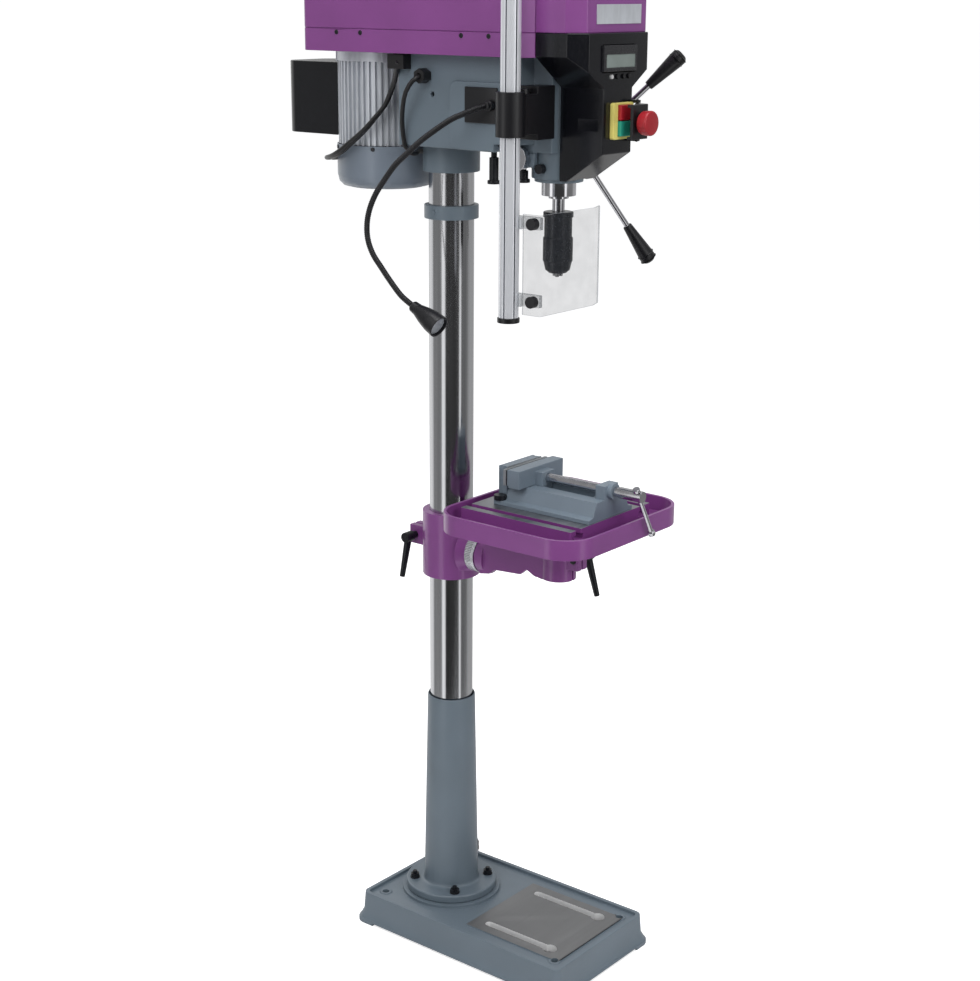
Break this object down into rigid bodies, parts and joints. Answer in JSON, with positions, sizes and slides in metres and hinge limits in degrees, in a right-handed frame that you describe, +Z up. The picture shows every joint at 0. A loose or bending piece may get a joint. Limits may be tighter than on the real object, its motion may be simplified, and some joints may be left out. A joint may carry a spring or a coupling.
{
  "type": "pillar drill",
  "caption": "Floor standing pillar drilling machine with a belt drive, feed levers, chuck guard, work lamp and a geared table that lifts, tilts and carries a vise.",
  "frame": {"origin": "on the floor, on the axis of the column, in the flat underside of the base", "axes": "+Z up the column, -Y towards the operator, +X towards the feed levers"},
  "size_m": [0.5765, 0.767, 1.798],
  "materials": {
    "purple_paint": "satin",
    "grey_paint": "satin",
    "grey_casting": "satin",
    "turned_steel": "bright",
    "black_steel": "satin",
    "black_plastic": "matte",
    "gloss_black": "gloss",
    "bare_aluminium": "satin",
    "chrome_rod": "polished",
    "clear_sheet": "clear",
    "yellow_plastic": "satin",
    "green_plastic": "satin",
    "red_plastic": "satin",
    "display_plastic": "satin",
    "cord_rubber": "matte",
    "belt_rubber": "matte"
  },
  "bodies": {
    "stand": {"base": "grey_paint", "column_foot": "grey_paint", "foot_bolts": "black_steel", "column": "turned_steel", "rack_ring": "grey_paint", "head_casting": "grey_paint", "belt_pan": "purple_paint", "front_cover": "purple_paint", "front_housing": "gloss_black", "display": "display_plastic", "switch_box": "yellow_plastic", "motor_body": "bare_aluminium", "motor_cowl": "grey_paint", "terminal_box": "gloss_black", "drive_belts": "belt_rubber", "head_fittings": "black_steel", "guard_bracket": "black_plastic", "lamp_neck": "black_plastic", "motor_cables": "cord_rubber", "mains_lead": "cord_rubber", "mains_coil": "cord_rubber", "mains_plug": "black_plastic"},
    "rack_slide": {"rack": "turned_steel"},
    "bracket": {"table_bracket": "purple_paint", "tilt_bolt": "black_steel"},
    "bracket_lock": {"bracket_lock_lever": "black_steel"},
    "crank": {"crank": "turned_steel"},
    "crank_handle": {"crank_knob": "black_plastic"},
    "arm": {"table_arm": "purple_paint"},
    "table": {"table": "purple_paint", "vise_body": "grey_casting", "vise_bolts": "black_steel"},
    "table_lock": {"table_lock_lever": "black_steel"},
    "vise_jaw": {"vise_jaw": "grey_casting"},
    "vise_screw": {"vise_screw": "turned_steel"},
    "vise_bar": {"vise_bar": "chrome_rod"},
    "quill": {"quill": "turned_steel", "quill_bearings": "turned_steel"},
    "spindle": {"spindle": "turned_steel", "chuck_body": "black_steel"},
    "chuck_sleeve": {"chuck_sleeve": "black_steel"},
    "jaw_a": {"chuck_jaw_a": "turned_steel"},
    "jaw_b": {"chuck_jaw_b": "turned_steel"},
    "jaw_c": {"chuck_jaw_c": "turned_steel"},
    "feed": {"feed_shaft": "grey_casting", "lever_rods": "chrome_rod", "lever_grips": "black_plastic"},
    "spindle_pulley": {"spindle_pulley": "bare_aluminium"},
    "idler_pulley": {"idler_pulley": "bare_aluminium"},
    "motor_rotor": {"motor_rotor": "turned_steel"},
    "guard_post": {"guard_tube": "bare_aluminium"},
    "shield": {"clear_shield": "clear_sheet", "shield_knobs": "black_plastic"},
    "lid": {"belt_lid": "purple_paint"},
    "keys": {"display_keys": "display_plastic"},
    "start_button": {"start_button": "green_plastic"},
    "stop_button": {"stop_button": "red_plastic"},
    "stop_flap": {"stop_flap": "black_plastic"},
    "mushroom": {"mushroom_button": "red_plastic"},
    "lamp_head": {"lamp_head": "black_plastic"}
  },
  "joints": [
    {"name": "table_swing", "type": "hinge", "parent": "stand", "child": "rack_slide", "pos_m": [0, 0, 0.9], "axis": [0, 0, 1], "range_deg": [-150, 60]},
    {"name": "table_lift", "type": "slide", "parent": "rack_slide", "child": "bracket", "axis": [0, 0, 1], "range_m": [-0.23, 0.23]},
    {"name": "crank_spin", "type": "hinge", "parent": "bracket", "child": "crank", "pos_m": [0.06, 0.023, 0.742], "axis": [1, 0, 0], "range_deg": [-825, 825]},
    {"name": "crank_knob_spin", "type": "hinge", "parent": "crank", "child": "crank_handle", "pos_m": [0.11, 0.098, 0.742], "axis": [1, 0, 0], "continuous": true},
    {"name": "bracket_lock_turn", "type": "hinge", "parent": "bracket", "child": "bracket_lock", "pos_m": [0, 0.075, 0.76], "axis": [1, 0, 0], "range_deg": [0, 80]},
    {"name": "table_tilt", "type": "hinge", "parent": "bracket", "child": "arm", "pos_m": [0, -0.08, 0.75], "axis": [0, 1, 0], "range_deg": [-45, 45]},
    {"name": "table_turn", "type": "hinge", "parent": "arm", "child": "table", "pos_m": [0, -0.2475, 0.8], "axis": [0, 0, 1], "range_deg": [-180, 180]},
    {"name": "table_lock_turn", "type": "hinge", "parent": "arm", "child": "table_lock", "pos_m": [0, -0.2875, 0.782], "axis": [1, 0, 0], "range_deg": [-80, 0]},
    {"name": "vise_jaw_slide", "type": "slide", "parent": "table", "child": "vise_jaw", "axis": [0, -1, 0], "range_m": [0, 0.1]},
    {"name": "vise_screw_spin", "type": "hinge", "parent": "vise_jaw", "child": "vise_screw", "pos_m": [0, -0.3, 0.919], "axis": [0, -1, 0], "range_deg": [0, 9001]},
    {"name": "vise_bar_slide", "type": "slide", "parent": "vise_screw", "child": "vise_bar", "axis": [-0.5, 0, 0.866], "range_m": [0, 0.07]},
    {"name": "quill_feed", "type": "slide", "parent": "stand", "child": "quill", "axis": [0, 0, -1], "range_m": [0, 0.08], "stiffness_N_per_m": 200, "springref_m": -0.4},
    {"name": "feed_spin", "type": "hinge", "parent": "stand", "child": "feed", "pos_m": [0.11, -0.19416, 1.474], "axis": [1, 0, 0], "range_deg": [0, 328]},
    {"name": "spindle_spin", "type": "hinge", "parent": "quill", "child": "spindle", "pos_m": [0, -0.234, 1.4], "axis": [0, 0, 1], "continuous": true},
    {"name": "spindle_pulley_spin", "type": "hinge", "parent": "stand", "child": "spindle_pulley", "pos_m": [0, -0.234, 1.7], "axis": [0, 0, 1], "continuous": true},
    {"name": "idler_pulley_spin", "type": "hinge", "parent": "stand", "child": "idler_pulley", "pos_m": [0, -0.041, 1.7], "axis": [0, 0, 1], "continuous": true},
    {"name": "motor_spin", "type": "hinge", "parent": "stand", "child": "motor_rotor", "pos_m": [0, 0.152, 1.5], "axis": [0, 0, 1], "continuous": true},
    {"name": "chuck_sleeve_turn", "type": "hinge", "parent": "spindle", "child": "chuck_sleeve", "pos_m": [0, -0.234, 1.3], "axis": [0, 0, 1], "range_deg": [0, 720]},
    {"name": "jaw_a_slide", "type": "slide", "parent": "spindle", "child": "jaw_a", "axis": [0, 0.1564, 0.9877], "range_m": [0, 0.0081]},
    {"name": "jaw_b_slide", "type": "slide", "parent": "spindle", "child": "jaw_b", "axis": [-0.1355, -0.0782, 0.9877], "range_m": [0, 0.0081]},
    {"name": "jaw_c_slide", "type": "slide", "parent": "spindle", "child": "jaw_c", "axis": [0.1355, -0.0782, 0.9877], "range_m": [0, 0.0081]},
    {"name": "guard_lift", "type": "slide", "parent": "stand", "child": "guard_post", "axis": [0, 0, 1], "range_m": [-0.1, 0.04]},
    {"name": "guard_swing", "type": "hinge", "parent": "guard_post", "child": "shield", "pos_m": [-0.15, -0.247, 1.3], "axis": [0, 0, -1], "range_deg": [0, 100]},
    {"name": "lid_open", "type": "hinge", "parent": "stand", "child": "lid", "pos_m": [0.1296, 0, 1.676], "axis": [0, 1, 0], "range_deg": [0, 70]},
    {"name": "display_keys_press", "type": "slide", "parent": "stand", "child": "keys", "axis": [0, 1, 0], "range_m": [0, 0.001], "stiffness_N_per_m": 600},
    {"name": "start_press", "type": "slide", "parent": "stand", "child": "start_button", "axis": [0, 1, 0], "range_m": [0, 0.0025], "stiffness_N_per_m": 500},
    {"name": "stop_press", "type": "slide", "parent": "stand", "child": "stop_button", "axis": [0, 1, 0], "range_m": [0, 0.0025], "stiffness_N_per_m": 500},
    {"name": "stop_flap_open", "type": "hinge", "parent": "stand", "child": "stop_flap", "pos_m": [0.038, -0.362, 1.537], "axis": [0, 0, 1], "range_deg": [0, 110]},
    {"name": "mushroom_press", "type": "slide", "parent": "stop_flap", "child": "mushroom", "axis": [0, 1, 0], "range_m": [0, 0.004], "stiffness_N_per_m": 500},
    {"name": "lamp_head_turn", "type": "hinge", "parent": "stand", "child": "lamp_head", "pos_m": [-0.2, -0.082, 1.234], "axis": [0, -0.8915, -0.4531], "range_deg": [-90, 90]}
  ],
  "couplings": [
    {"joint": "crank_spin", "follows": "table_lift", "rad_per_m": 62.5},
    {"joint": "vise_screw_spin", "follows": "vise_jaw_slide", "rad_per_m": 1570.8},
    {"joint": "feed_spin", "follows": "quill_feed", "rad_per_m": 71.429},
    {"joint": "spindle_pulley_spin", "follows": "spindle_spin", "ratio": 1},
    {"joint": "idler_pulley_spin", "follows": "spindle_spin", "ratio": 1.1905},
    {"joint": "motor_spin", "follows": "spindle_spin", "ratio": 1.7507},
    {"joint": "jaw_a_slide", "follows": "chuck_sleeve_turn", "m_per_rad": 0.0006366},
    {"joint": "jaw_b_slide", "follows": "chuck_sleeve_turn", "m_per_rad": 0.0006366},
    {"joint": "jaw_c_slide", "follows": "chuck_sleeve_turn", "m_per_rad": 0.0006366}
  ]
}
